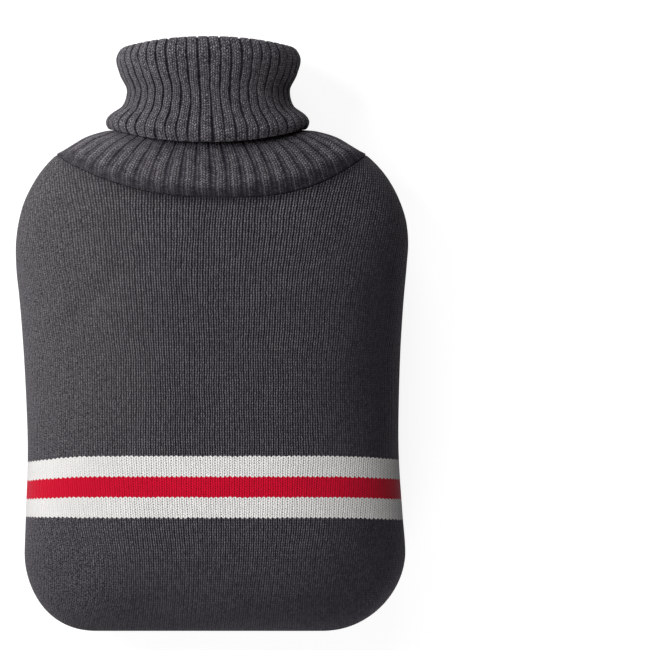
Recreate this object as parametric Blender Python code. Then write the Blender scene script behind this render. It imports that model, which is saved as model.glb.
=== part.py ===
"""Knitted hot water bottle cover, lying on its back in its filled shape.

Two plain knit panels are linked along the sides and the bottom. A ribbed collar is sewn to
their necklines: it spreads over the shoulders as a yoke, narrows to the neck and is folded
outwards and down as a cuff. +X points right as the front is looked at, +Y runs from the
bottom seam to the neck and +Z comes out of the front. Lengths are in millimetres until MM
turns them into metres, and y counts from the bottom seam until the part is centred.
"""
import math
from collections import namedtuple

import bpy
import numpy as np

MM = 0.001

# --- Driving dimensions -------------------------------------------------------------------
SEAM_Z = 28.0          # height of the side and bottom seam above the surface it lies on
SEAM_GAP = 0.3         # space between the edges of two pieces
NECKLINE_GAP = 0.42    # the same space along Y at the neckline, which slants
PANEL_THICKNESS = 2.5  # plain knit
COLLAR_THICKNESS = 2.6  # ribbed knit, between the furrows of its two faces
RIB_HEIGHT = 0.9       # how far a rib stands above a furrow
RIB_COUNT = 48         # ribs around the collar
FURROW_HALF = 0.2      # a furrow's half width, as a share of the rib pitch

# The body's outline and depth: its half width, how far its middle strays to the right, the
# crown's height above the seam, and how far the back lies below the seam.
Station = namedtuple("Station", "y half_width stray front back")
BODY = (
    Station(0.0, 108.6, -1.8, 34.0, 28.0),
    Station(20.0, 108.6, 0.3, 35.0, 28.0),
    Station(46.0, 108.6, 1.4, 36.5, 28.0),
    Station(66.0, 107.5, 1.0, 37.4, 28.0),
    Station(104.0, 105.8, 0.4, 38.2, 28.0),
    Station(135.0, 106.4, 0.0, 38.3, 28.0),
    Station(163.0, 107.7, -0.3, 38.0, 28.0),
    Station(190.0, 109.7, -0.5, 37.0, 28.0),
    Station(208.0, 111.4, -0.6, 35.5, 28.0),
    Station(222.0, 111.9, -0.2, 34.0, 28.0),
    Station(235.5, 110.1, 0.0, 32.2, 27.8),
    Station(244.5, 107.3, -0.2, 30.6, 27.0),
    Station(253.5, 103.0, -0.2, 29.0, 25.6),
    Station(262.5, 97.0, -0.4, 27.9, 24.2),
    Station(271.5, 88.1, -0.7, 26.6, 22.4),
    Station(276.5, 81.2, -0.9, 26.0, 21.4),
)
FLAT_BOTTOM = 66.0     # half width of the straight bottom edge, between the rounded corners
CORNER_HEIGHT = 46.0
FRONT_ROUNDING = 26.0  # length over which the front swells up from the bottom seam
BACK_ROUNDING = 24.0
FRONT_SECTION = (2.6, 2.1)  # powers of the front's rounded section, across and up
BACK_FLAT = 0.62       # share of the width that lies flat
BACK_SECTION = (2.2, 2.0)   # powers of the back's rounded sides

# The neckline's ends on the side seams, and its U on each face: where it is lowest, how far
# it drops there, and the powers of its left and right arm.
SHOULDER_Y = 271.3
Neckline = namedtuple("Neckline", "x drop left right")
FRONT_NECKLINE = Neckline(8.0, 24.2, 2.5, 2.8)
BACK_NECKLINE = Neckline(0.0, 15.5, 2.3, 2.3)
BEND_START_Y = 190.0   # rows of the panels bend towards the neckline from here up

# Soft dents of the front: centre, direction of the long axis in degrees, half lengths, depth
Dent = namedtuple("Dent", "x y turn long short depth")
DENTS = (
    Dent(-78.0, 179.0, 45.0, 30.0, 6.0, 1.3),
    Dent(-84.0, 186.0, 45.0, 30.0, 7.0, -0.7),
    Dent(-54.0, 222.0, -45.0, 20.0, 8.0, 0.6),
    Dent(-48.0, 14.0, 20.0, 36.0, 18.0, 3.0),
    Dent(88.0, 128.0, 80.0, 24.0, 12.0, 1.2),
)

# The stripe band, up from the bottom seam, and the rows of the panels
STRIPES = ((64.4, 76.1, "white"), (76.1, 87.8, "red"), (87.8, 99.6, "white"))
FRONT_ROWS = (0.0, 0.7, 2.5, 5.5, 10.0, 16.0, 24.0, 34.0, 48.0, 64.4, 76.1, 87.8, 99.6,
              116.0, 135.0, 155.0, 175.0, 194.0, 210.0, 224.0, 236.0, 247.0, 256.5, 264.5,
              SHOULDER_Y)
BACK_ROWS = (0.0, 0.7, 2.5, 5.5, 10.0, 16.0, 24.0, 34.0, 48.0, 64.4, 76.1, 87.8, 99.6,
             135.0, 175.0, 210.0, 228.0, 243.0, 255.0, 264.5, SHOULDER_Y)
PANEL_COLUMNS = 36

# The collar's folded section, as rings of its middle surface from the yoke up the neck,
# over the fold and down the cuff. front and back are depths from NECK_Z. Each ring is an
# oval, higher or lower at its front and back than at its sides.
NECK_Z = 33.0
NECK_SHIFT = -2.3      # the neck leans this far to the left of the body's middle line
YOKE_PROUD = 0.3       # the yoke's edge stands this far above the panels
Ring = namedtuple("Ring", "half_width front back y_side y_front y_back shift")
RINGS = (
    Ring(82.0, 26.3, 30.3, 273.4, 252.8, 260.5, 0.3),    # lip of the yoke
    Ring(71.6, 26.6, 29.8, 279.5, 262.0, 267.5, 0.35),
    Ring(60.0, 24.8, 28.2, 283.1, 272.5, 275.5, 0.5),
    Ring(50.2, 22.3, 25.4, 284.6, 282.0, 283.5, 0.8),    # under the cuff's hem
    Ring(43.6, 21.9, 23.4, 291.8, 291.5, 292.0, 1.0),
    Ring(40.7, 21.4, 23.0, 308.0, 308.5, 308.5, 1.0),    # waist of the neck
    Ring(42.0, 22.8, 24.4, 320.0, 325.0, 325.0, 1.0),
    Ring(43.6, 24.2, 25.6, 327.3, 332.6, 332.6, 1.0),    # mouth
    Ring(47.2, 27.3, 28.4, 330.8, 336.6, 336.6, 1.0),    # top of the fold
    Ring(50.2, 30.2, 30.7, 326.8, 332.0, 332.0, 1.0),
    Ring(48.7, 29.0, 29.9, 318.5, 322.5, 322.5, 1.0),
    Ring(44.3, 25.0, 26.7, 308.0, 308.5, 308.5, 1.0),    # waist of the cuff
    Ring(47.2, 26.4, 28.4, 297.8, 296.0, 297.0, 1.1),
    Ring(54.6, 28.8, 30.2, 292.2, 286.0, 289.0, 1.2),
    Ring(55.0, 29.2, 30.5, 286.6, 278.6, 283.6, 1.2),    # hem of the cuff
)
TOP_RING = 9           # the top of the fold, counted with 0 at the neckline
OVAL_SECTION = (2.15, 2.2)  # powers of an oval ring, across and up
EVEN_RIBS = 0.45       # 1 spaces the ribs evenly along a ring, 0 crowds them at its sides
RIB_TWIST = 0.5        # ribs drift to the right by this share of a pitch down the cuff

# Where the collar's mesh has its rings, counted along RINGS with 0 at the neckline. The
# outer face is seen on the yoke, and the inner face of the cloth is seen on the cuff.
OUTER_SEEN = (0.0, 0.5, 1.0, 1.7, 2.35, 3.0, 3.6)
OUTER_HIDDEN = (4.3, 5.0, 6.0, 7.0, 8.0, 8.5, 9.0, 9.5, 10.0, 11.0, 12.0, 13.0, 14.0, 14.93)
INNER_SEEN = (15.0, 14.5, 14.0, 13.5, 13.0, 12.5, 12.0, 11.5, 11.0, 10.5, 10.0, 9.6, 9.2,
              8.8, 8.3, 7.6, 6.8)
INNER_HIDDEN = (6.0, 5.0, 4.0, 3.0, 2.0, 1.0, 0.0)
YOKE_EDGE_RIB = 0.3    # the ribs flatten to this share of their height at the neckline
DENSE = 241            # points of a row before it is spaced evenly
NEAR = 0.5             # a short step for reading directions off a surface

# --- Colours, as seen in daylight, 0 to 255 -----------------------------------------------
CHARCOAL = (66, 63, 68)
WHITE = (226, 224, 222)
RED = (192, 22, 46)


# --- Small tools --------------------------------------------------------------------------
def linear(colour):
    """A screen colour as the linear values that a shader takes."""
    parts = [c / 255.0 for c in colour]
    return tuple(p / 12.92 if p <= 0.04045 else ((p + 0.055) / 1.055) ** 2.4 for p in parts)


def material(name, colour, roughness):
    """A matt yarn."""
    made = bpy.data.materials.new(name)
    made.use_nodes = True
    shader = made.node_tree.nodes["Principled BSDF"]
    shader.inputs["Base Color"].default_value = (*linear(colour), 1.0)
    shader.inputs["Roughness"].default_value = roughness
    shader.inputs["Metallic"].default_value = 0.0
    return made


def smooth_curve(knots, values, at):
    """A smooth curve through values at knots, read at one or many places."""
    knots = np.asarray(knots, float)
    values = np.asarray(values, float)
    at = np.clip(np.asarray(at, float), knots[0], knots[-1])
    slopes = np.gradient(values, knots, axis=0)
    i = np.clip(np.searchsorted(knots, at, side="right") - 1, 0, len(knots) - 2)
    span = knots[i + 1] - knots[i]
    t = (at - knots[i]) / span
    if values.ndim > 1:
        shape = t.shape + (1,) * (values.ndim - 1)
        t = t.reshape(shape)
        span = span.reshape(shape)
    a = (1 + 2 * t) * (1 - t) ** 2
    b = t * (1 - t) ** 2
    c = t * t * (3 - 2 * t)
    d = t * t * (t - 1)
    return a * values[i] + b * span * slopes[i] + c * values[i + 1] + d * span * slopes[i + 1]


def quarter_round(share):
    """A quarter circle's rise, from 0 at share 0 to 1 at share 1."""
    share = np.clip(share, 0.0, 1.0)
    return np.sqrt(1.0 - (1.0 - share) ** 2)


def rounded(across, powers):
    """The height, 0 to 1, of a rounded section at across, -1 to 1."""
    across = np.clip(np.abs(across), 0.0, 1.0)
    return (1.0 - across ** powers[0]) ** (1.0 / powers[1])


def spaced(points, fractions, measure=None):
    """Points of a dense row, spaced by fractions of its length or of another measure."""
    if measure is None:
        measure = along(points)
    return np.stack([np.interp(fractions, measure, points[:, k]) for k in range(3)], axis=1)


def along(points):
    """How far along its length each point of a row lies, 0 to 1."""
    steps = np.linalg.norm(np.diff(points, axis=0), axis=1)
    length = np.concatenate([[0.0], np.cumsum(steps)])
    return length / length[-1]


# --- The body -----------------------------------------------------------------------------
BODY_Y = [s.y for s in BODY]
CROWN = max(s.front for s in BODY)


def body_half_width(y):
    """The outline's half width, with the rounded bottom corners."""
    width = smooth_curve(BODY_Y, [s.half_width for s in BODY], y)
    corner = BODY[0].half_width - FLAT_BOTTOM
    return width - corner * (1.0 - quarter_round(np.asarray(y) / CORNER_HEIGHT))


def body_middle(y):
    """How far right the outline's middle lies."""
    return smooth_curve(BODY_Y, [s.stray for s in BODY], y)


def body_share(x, y):
    """How far across the body a point lies, from -1 at its left seam to 1 at its right."""
    return (x - body_middle(y)) / body_half_width(y)


def dents(x, y):
    """How far the soft dents sink the front at x, y."""
    depth = np.zeros(np.shape(x))
    for dent in DENTS:
        turn = math.radians(dent.turn)
        dx = x - dent.x
        dy = y - dent.y
        lengthwise = (dx * math.cos(turn) + dy * math.sin(turn)) / dent.long
        crosswise = (-dx * math.sin(turn) + dy * math.cos(turn)) / dent.short
        depth = depth + dent.depth * np.exp(-lengthwise ** 2 - crosswise ** 2)
    return depth


def front_z(x, y):
    """Height of the front's outer face."""
    crown = smooth_curve(BODY_Y, [s.front for s in BODY], y) * quarter_round(y / FRONT_ROUNDING)
    rise = crown * rounded(body_share(x, y), FRONT_SECTION)
    return SEAM_Z + rise - dents(x, y) * rise / CROWN


def back_z(x, y):
    """Height of the back's outer face, flat in the middle where it lies on the surface."""
    depth = smooth_curve(BODY_Y, [s.back for s in BODY], y) * quarter_round(y / BACK_ROUNDING)
    across = (np.abs(body_share(x, y)) - BACK_FLAT) / (1.0 - BACK_FLAT)
    return SEAM_Z - depth * rounded(np.clip(across, 0.0, 1.0), BACK_SECTION)


def neckline_dip(neckline, x, half_width):
    """The neckline's U: 1 where it is lowest, 0 at both side seams."""
    left = np.clip((neckline.x - x) / (neckline.x + half_width), 0.0, 1.0) ** neckline.left
    right = np.clip((x - neckline.x) / (half_width - neckline.x), 0.0, 1.0) ** neckline.right
    return 1.0 - left - right


def body_row(y_side, fractions, is_front):
    """A row of outer points across a panel, left to right, from seam to seam."""
    neckline = FRONT_NECKLINE if is_front else BACK_NECKLINE
    half_width = float(body_half_width(y_side))
    turn = np.linspace(-math.pi / 2, math.pi / 2, DENSE)
    across = half_width * np.sin(turn)
    x = float(body_middle(y_side)) + across
    bend = max((y_side - BEND_START_Y) / (SHOULDER_Y - BEND_START_Y), 0.0)
    y = y_side - bend * neckline.drop * neckline_dip(neckline, across, half_width)
    z = front_z(x, y) if is_front else back_z(x, y)
    return spaced(np.stack([x, y, z], axis=1), fractions)


def outline_normal(y, side):
    """The outline's outward direction at its right (side 1) or left (side -1) seam."""
    low = max(y - NEAR, 0.0)
    high = y + NEAR
    run = side * (body_half_width(high) - body_half_width(low))
    run = float(run + body_middle(high) - body_middle(low))
    rise = high - low
    size = math.hypot(run, rise)
    return np.array([side * rise / size, -side * run / size, 0.0])


def grid_normals(points, outward):
    """Unit normals of a grid of points, on the side that outward gives."""
    down = np.gradient(points, axis=0)
    across = np.gradient(points, axis=1)
    normals = np.cross(across, down) * outward
    return normals / np.linalg.norm(normals, axis=2, keepdims=True)


def split(cell, from_first):
    """Two triangles from a cell of four corners, cut from its first corner or its second."""
    a, b, c, d = cell
    if from_first:
        return [(a, b, c), (a, c, d)]
    return [(b, c, d), (b, d, a)]


def panel_faces(rows, columns):
    """Faces of a sheet: outer grid, inner grid and the four edges between them."""
    def at(layer, r, c):
        return (layer * rows + r) * columns + c

    faces = []
    for r in range(rows - 1):
        for c in range(columns - 1):
            outer = [at(0, r, c), at(0, r, c + 1), at(0, r + 1, c + 1), at(0, r + 1, c)]
            inner = [at(1, r, c), at(1, r, c + 1), at(1, r + 1, c + 1), at(1, r + 1, c)]
            is_left = c < (columns - 1) / 2
            faces += split(outer, is_left)
            faces += [tuple(reversed(face)) for face in split(inner, is_left)]
    rim = [(0, c) for c in range(columns)]
    rim += [(r, columns - 1) for r in range(1, rows)]
    rim += [(rows - 1, c) for c in range(columns - 2, -1, -1)]
    rim += [(r, 0) for r in range(rows - 2, 0, -1)]
    for here, there in zip(rim, rim[1:] + rim[:1]):
        faces.append((at(0, *there), at(0, *here), at(1, *here), at(1, *there)))
    return faces


def make_panel(name, is_front, materials):
    """One knit panel as a sheet of even thickness."""
    heights = FRONT_ROWS if is_front else BACK_ROWS
    side = 1.0 if is_front else -1.0
    fractions = np.linspace(0.0, 1.0, PANEL_COLUMNS + 1)
    outer = np.stack([body_row(y, fractions, is_front) for y in heights])
    normals = grid_normals(outer, side)
    for r, y in enumerate(heights):
        normals[r, 0] = outline_normal(y, -1.0)
        normals[r, -1] = outline_normal(y, 1.0)
    normals[0, :] = (0.0, -1.0, 0.0)
    outer[:, :, 2] = side * np.maximum(side * (outer[:, :, 2] - SEAM_Z), SEAM_GAP / 2) + SEAM_Z
    outer[-1, :, 1] -= NECKLINE_GAP / 2
    inner = outer - PANEL_THICKNESS * normals
    points = np.concatenate([outer.reshape(-1, 3), inner.reshape(-1, 3)])
    faces = panel_faces(len(heights), PANEL_COLUMNS + 1)
    if not is_front:
        faces = [tuple(reversed(face)) for face in faces]
    panel = make_object(name, points, faces, materials)
    paint_stripes(panel)
    return panel


def paint_stripes(panel):
    """Give the faces of the stripe band their yarn. Slots are charcoal, white and red."""
    slots = {"white": 1, "red": 2}
    for face in panel.data.polygons:
        y = face.center.y / MM
        for low, high, yarn in STRIPES:
            if low < y < high:
                face.material_index = slots[yarn]


# --- The collar ---------------------------------------------------------------------------
def neckline_ring(fractions):
    """The yoke's edge on the two panels' necklines: middle surface and outward directions."""
    front = fractions[fractions < 0.5] * 2.0
    back = fractions[fractions >= 0.5] * 2.0 - 1.0
    middles = []
    directions = []
    for share, is_front in ((1.0 - front, True), (back, False)):
        heights = (SHOULDER_Y - NEAR, SHOULDER_Y, SHOULDER_Y + NEAR)
        order = np.argsort(share)
        rows = np.stack([body_row(y, share[order], is_front) for y in heights])
        normals = grid_normals(rows, 1.0 if is_front else -1.0)[1]
        normals[share[order] == 0.0] = outline_normal(SHOULDER_Y, -1.0)
        normals[share[order] == 1.0] = outline_normal(SHOULDER_Y, 1.0)
        middle = rows[1] + normals * (YOKE_PROUD - COLLAR_THICKNESS / 2)
        middle[:, 1] += NECKLINE_GAP / 2
        middles.append(middle[np.argsort(order)])
        directions.append(normals[np.argsort(order)])
    return np.concatenate(middles), np.concatenate(directions)


def oval_ring(ring, fractions):
    """An oval ring of the collar's middle surface. Fraction 0 is its right, 0.25 its front."""
    turn = np.linspace(0.0, math.pi, DENSE)
    across, up = (2.0 / power for power in OVAL_SECTION)
    cos = np.sign(np.cos(turn)) * np.abs(np.cos(turn)) ** across
    sin = np.sin(turn) ** up
    made = np.empty((len(fractions), 3))
    for half, depth, y_end in ((0, ring.front, ring.y_front), (1, -ring.back, ring.y_back)):
        direction = 1.0 - 2.0 * half
        x = NECK_SHIFT * ring.shift + direction * ring.half_width * cos
        y = ring.y_side + (y_end - ring.y_side) * np.sin(turn) ** 2
        z = NECK_Z + depth * sin
        points = np.stack([x, y, z], axis=1)
        measure = EVEN_RIBS * along(points) + (1.0 - EVEN_RIBS) * turn / math.pi
        chosen = (fractions >= 0.5 * half) & (fractions < 0.5 * half + 0.5)
        made[chosen] = spaced(points, fractions[chosen] * 2.0 - half, measure)
    return made


def twist(count):
    """How far the ribs have drifted around at a ring of the cuff, as a share of the ring."""
    return RIB_TWIST / RIB_COUNT * np.interp(count, (TOP_RING, len(RINGS)), (0.0, 1.0))


class Collar:
    """The collar's middle surface, read at any place along its folded section."""

    def __init__(self, fractions):
        edge, self.edge_normals = neckline_ring(fractions)
        rings = [edge]
        for count, ring in enumerate(RINGS, 1):
            rings.append(oval_ring(ring, (fractions - twist(count)) % 1.0))
        self.rings = np.stack(rings)
        steps = np.linalg.norm(np.diff(self.rings, axis=0), axis=2).mean(axis=1)
        self.knots = np.concatenate([[0.0], np.cumsum(steps)])

    def place(self, count):
        """Turn a place counted in rings into one measured along the section."""
        return np.interp(count, np.arange(len(self.knots)), self.knots)

    def read(self, count):
        """Points and outer-face normals of one ring."""
        if count == 0.0:
            return self.rings[0], self.edge_normals
        here = self.place(count)
        places = np.clip([here - NEAR, here, here + NEAR], 0.0, self.knots[-1])
        before, points, after = smooth_curve(self.knots, self.rings, places)
        around = np.roll(points, -1, axis=0) - np.roll(points, 1, axis=0)
        normals = np.cross(after - before, around)
        return points, normals / np.linalg.norm(normals, axis=1, keepdims=True)


def rib_relief(columns, count):
    """Height of the ribs at each column: furrow, then two edges of a flat-topped rib."""
    flatten = np.interp(count, (0.0, 2.0), (YOKE_EDGE_RIB, 1.0))
    return RIB_HEIGHT * flatten * np.array([0.0, 1.0, 1.0] * (columns // 3))


def collar_fractions(with_ribs):
    """Places of a ring's points around the collar."""
    phases = (0.0, FURROW_HALF, 1.0 - FURROW_HALF) if with_ribs else (0.0,)
    return np.array([(rib + phase) / RIB_COUNT for rib in range(RIB_COUNT) for phase in phases])


def collar_ring(surfaces, count, is_outer, with_ribs):
    """One ring of the collar's mesh."""
    points, normals = surfaces[with_ribs].read(count)
    side = 1.0 if is_outer else -1.0
    offset = np.full(len(points), COLLAR_THICKNESS / 2)
    if with_ribs:
        offset = offset + rib_relief(len(points), count)
    moved = points + side * offset[:, None] * normals
    moved[:, 2] = np.maximum(moved[:, 2], 0.0)
    return moved


def bridge(first, first_start, second, second_start):
    """Faces between two rings, the finer of which has 1 or 3 points for each of the other's."""
    faces = []
    fewer = min(len(first), len(second))
    for i in range(fewer):
        ring_a = chain(len(first), fewer, i, first_start)
        ring_b = chain(len(second), fewer, i, second_start)
        if len(ring_a) == len(ring_b):
            faces.append((ring_a[0], ring_b[0], ring_b[1], ring_a[1]))
            continue
        if len(ring_a) < len(ring_b):
            a0, a1 = ring_a
            b0, b1, b2, b3 = ring_b
            faces += [(a0, b0, b1), (a0, b1, b2, a1), (a1, b2, b3)]
        else:
            a0, a1, a2, a3 = ring_a
            b0, b1 = ring_b
            faces += [(a0, b0, a1), (a1, b0, b1, a2), (a2, b1, a3)]
    return faces


def chain(size, fewer, i, start):
    """Indices of a ring's points over one step of the coarser ring."""
    step = size // fewer
    return [start + (i * step + k) % size for k in range(step + 1)]


def make_collar(name, materials):
    """Yoke, neck, fold and cuff as one folded sheet, ribbed where it shows."""
    surfaces = {}
    for with_ribs in (True, False):
        surfaces[with_ribs] = Collar(collar_fractions(with_ribs))
    order = [(count, True, True) for count in OUTER_SEEN]
    order += [(count, True, False) for count in OUTER_HIDDEN]
    order += [(count, False, True) for count in INNER_SEEN]
    order += [(count, False, False) for count in INNER_HIDDEN]
    rings = [collar_ring(surfaces, *place) for place in order]
    starts = np.concatenate([[0], np.cumsum([len(ring) for ring in rings])])
    faces = []
    for i, ring in enumerate(rings):
        j = (i + 1) % len(rings)
        faces += bridge(ring, int(starts[i]), rings[j], int(starts[j]))
    return make_object(name, np.concatenate(rings), faces, materials)


# --- Objects ------------------------------------------------------------------------------
def make_object(name, points, faces, materials):
    """A closed mesh object from points in millimetres."""
    mesh = bpy.data.meshes.new(name)
    mesh.from_pydata([tuple(point) for point in points * MM], [], faces)
    mesh.update()
    for one in materials:
        mesh.materials.append(one)
    mesh.shade_smooth()
    mesh.set_sharp_from_angle(angle=math.radians(50.0))
    made = bpy.data.objects.new(name, mesh)
    bpy.context.scene.collection.objects.link(made)
    return made


def centre_on_origin(objects):
    """Move the meshes so that the part stands centred on the origin, its lowest face at 0."""
    points = np.array([tuple(v.co) for one in objects for v in one.data.vertices])
    low = points.min(axis=0)
    high = points.max(axis=0)
    shift = (-(low[0] + high[0]) / 2, -(low[1] + high[1]) / 2, -low[2])
    for one in objects:
        for vertex in one.data.vertices:
            vertex.co = [value + move for value, move in zip(vertex.co, shift)]


def main():
    for old in list(bpy.data.objects):
        bpy.data.objects.remove(old, do_unlink=True)
    plain = material("charcoal_knit", CHARCOAL, 0.92)
    rib = material("charcoal_rib", CHARCOAL, 0.9)
    white = material("white_knit", WHITE, 0.92)
    red = material("red_knit", RED, 0.92)
    yarns = (plain, white, red)
    front = make_panel("front_panel", True, yarns)
    back = make_panel("back_panel", False, yarns)
    collar = make_collar("collar", (rib,))
    centre_on_origin((front, back, collar))


main()
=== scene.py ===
"""Looks of a knitted hot water bottle cover that lies on its back in its filled shape.

Three sheets of knit replace the plain solids: two panels in plain knit with a stripe band, and
the ribbed collar, which is yoke, neck and folded cuff in one. Each lies on its solid's surface,
worked out from the same sizes in millimetres, with y counted from the bottom seam. Stitches
are drawn from a UV map that counts wales across and courses up.
"""

import math
from collections import namedtuple

import bpy
import numpy as np
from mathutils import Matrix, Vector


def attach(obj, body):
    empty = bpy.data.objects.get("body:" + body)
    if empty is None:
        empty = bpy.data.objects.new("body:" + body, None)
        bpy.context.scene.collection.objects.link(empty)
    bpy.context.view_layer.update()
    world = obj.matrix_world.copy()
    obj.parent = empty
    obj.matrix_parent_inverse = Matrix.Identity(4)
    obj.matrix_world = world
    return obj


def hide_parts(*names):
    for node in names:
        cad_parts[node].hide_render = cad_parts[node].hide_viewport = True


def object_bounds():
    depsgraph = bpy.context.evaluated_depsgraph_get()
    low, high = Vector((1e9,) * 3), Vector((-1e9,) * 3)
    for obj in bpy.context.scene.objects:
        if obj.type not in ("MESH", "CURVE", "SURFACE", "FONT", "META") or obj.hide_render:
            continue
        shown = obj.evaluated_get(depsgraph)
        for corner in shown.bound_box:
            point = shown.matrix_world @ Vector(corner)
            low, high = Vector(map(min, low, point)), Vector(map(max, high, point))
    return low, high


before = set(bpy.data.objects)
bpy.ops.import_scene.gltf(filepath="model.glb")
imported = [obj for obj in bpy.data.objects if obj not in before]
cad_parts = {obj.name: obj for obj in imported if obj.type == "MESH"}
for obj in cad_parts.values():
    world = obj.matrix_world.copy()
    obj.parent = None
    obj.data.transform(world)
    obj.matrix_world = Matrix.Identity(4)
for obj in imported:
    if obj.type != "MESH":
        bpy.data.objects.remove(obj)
cad_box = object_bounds()

MM = 0.001

# --- The cover's sizes, as in its solids but for finer dents and a finer hem ---
SEAM_Z = 28.0  # height of the side and bottom seam above the surface it lies on
SEAM_GAP = 0.3  # space between the edges of two pieces
NECKLINE_GAP = 0.42  # the same space along Y at the neckline, which slants
PANEL_THICKNESS = 2.5
COLLAR_THICKNESS = 2.6
RIB_HEIGHT = 0.9  # how far a rib stands above a furrow
RIB_COUNT = 48  # ribs around the collar

# The body's half width, how far its middle strays to the right, the crown's height above the
# seam, and how far the back lies below it
Station = namedtuple("Station", "y half_width stray front back")
BODY = [Station(*row) for row in (
    (0.0, 108.6, -1.8, 34.0, 28.0),
    (20.0, 108.6, 0.3, 35.0, 28.0),
    (46.0, 108.6, 1.4, 36.5, 28.0),
    (66.0, 107.5, 1.0, 37.4, 28.0),
    (104.0, 105.8, 0.4, 38.2, 28.0),
    (135.0, 106.4, 0.0, 38.3, 28.0),
    (163.0, 107.7, -0.3, 38.0, 28.0),
    (190.0, 109.7, -0.5, 37.0, 28.0),
    (208.0, 111.4, -0.6, 35.5, 28.0),
    (222.0, 111.9, -0.2, 34.0, 28.0),
    (235.5, 110.1, 0.0, 32.2, 27.8),
    (244.5, 107.3, -0.2, 30.6, 27.0),
    (253.5, 103.0, -0.2, 29.0, 25.6),
    (262.5, 97.0, -0.4, 27.9, 24.2),
    (271.5, 88.1, -0.7, 26.6, 22.4),
    (276.5, 81.2, -0.9, 26.0, 21.4),
)]
FLAT_BOTTOM = 66.0  # half width of the straight bottom edge, between the rounded corners
CORNER_HEIGHT = 46.0
FRONT_ROUNDING = 26.0  # length over which the front swells up from the bottom seam
BACK_ROUNDING = 24.0
FRONT_SECTION = (2.6, 2.1)  # powers of the front's rounded section, across and up
BACK_FLAT = 0.62  # share of the width that lies flat
BACK_SECTION = (2.2, 2.0)  # powers of the back's rounded sides

# The neckline's ends on the side seams, and its U on each face: where it is lowest, how far
# it drops there, and the powers of its left and right arm
SHOULDER_Y = 271.3
Neckline = namedtuple("Neckline", "x drop left right")
FRONT_NECKLINE = Neckline(8.0, 24.2, 2.5, 2.8)
BACK_NECKLINE = Neckline(0.0, 15.5, 2.3, 2.3)
BEND_START_Y = 190.0  # rows of the panels bend towards the neckline from here up

# Soft dents of the front: centre, direction of the long axis in degrees, half lengths, depth
Dent = namedtuple("Dent", "x y turn long short depth")
DENTS = [Dent(*row) for row in (
    (-78.0, 179.0, 45.0, 30.0, 6.0, 1.3),
    (-84.0, 186.0, 45.0, 30.0, 7.0, -0.7),
    (-54.0, 222.0, -45.0, 20.0, 8.0, 0.6),
    (-32.0, 6.0, 12.0, 30.0, 20.0, 7.0),
    (88.0, 128.0, 80.0, 24.0, 12.0, 1.2),
    (98.0, 182.0, 88.0, 46.0, 12.0, 2.2),
    (101.0, 264.0, 120.0, 26.0, 13.0, -2.2),
)]

# The collar's folded section, as oval rings of its middle surface from the yoke up the neck,
# over the fold and down the cuff. front and back are depths from NECK_Z.
NECK_Z = 33.0
NECK_SHIFT = -2.3  # the neck leans this far to the left of the body's middle line
YOKE_PROUD = 0.3  # the yoke's edge stands this far above the panels
Ring = namedtuple("Ring", "half_width front back y_side y_front y_back shift")
RINGS = [Ring(*row) for row in (
    (82.0, 26.3, 30.3, 273.4, 252.8, 260.5, 0.3),  # lip of the yoke
    (71.6, 26.6, 29.8, 279.5, 262.0, 267.5, 0.35),
    (60.0, 24.8, 28.2, 283.1, 272.5, 275.5, 0.5),
    (50.2, 22.3, 25.4, 284.6, 282.0, 283.5, 0.8),  # under the cuff's hem
    (43.6, 21.9, 23.4, 291.8, 291.5, 292.0, 1.0),
    (40.7, 21.4, 23.0, 308.0, 308.5, 308.5, 1.0),  # waist of the neck
    (42.0, 22.8, 24.4, 320.0, 325.0, 325.0, 1.0),
    (43.6, 24.2, 25.6, 327.3, 332.6, 332.6, 1.0),  # mouth
    (47.2, 27.3, 28.4, 330.8, 336.6, 336.6, 1.0),  # top of the fold
    (50.2, 30.2, 30.7, 326.8, 332.0, 332.0, 1.0),
    (48.7, 29.0, 29.9, 318.5, 322.5, 322.5, 1.0),
    (44.3, 25.0, 26.7, 308.0, 308.5, 308.5, 1.0),  # waist of the cuff
    (47.2, 26.4, 28.4, 297.8, 296.0, 297.0, 1.1),
    (54.6, 28.8, 30.2, 291.6, 286.0, 289.0, 1.2),
    (55.0, 29.2, 30.5, 285.7, 278.6, 283.6, 1.2),  # hem of the cuff
)]
TOP_RING = 9  # the top of the fold, counted with 0 at the neckline
OVAL_SECTION = (2.15, 2.2)  # powers of an oval ring, across and up
EVEN_RIBS = 0.45  # 1 spaces the ribs evenly along a ring, 0 crowds them at its sides
RIB_TWIST = 0.5  # ribs drift to the right by this share of a pitch down the cuff
DENSE = 721  # points of a row before it is spaced evenly
NEAR = 0.5  # a short step for reading directions off a surface

# --- Knit ---
COURSE = 1.4625  # height of a stitch of the plain knit
STRIPE_FOOT = 64.4  # where the stripe band starts
STRIPE_COURSES = (44.0, 52.0, 60.0, 68.0)  # its edges: white, red and white of 8 courses

# Width of a stitch of the plain knit, which is more stretched higher up
WALE_Y = (0.0, 18.0, 29.0, 46.0, 60.0, 98.0, 155.0, 172.0, 189.0, 206.0, 223.0, 246.0, 272.0)
WALE_WIDTH = (2.40, 2.42, 2.48, 2.57, 2.68, 2.79, 2.79, 2.87, 2.92, 3.02, 3.12, 3.23, 3.34)

# How much further the wales lean towards the shoulders and the bottom corners
LEAN_X = (-100.0, -81.0, -47.0, -25.0, 10.0, 38.0, 60.0, 75.0, 95.0)
LEAN_SHARE = (-0.6, -0.5, 0.25, 0.6, 0.6, 0.8, 1.25, 1.2, 0.7)
LEAN_START_Y = 212.0
LEAN_BEND = 0.0043  # by how much a millimetre of height turns them above that
CORNER_X = 80.0
CORNER_START_Y = 64.0
CORNER_BEND = 0.004  # and by how much below this one, at that distance from the middle

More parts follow.
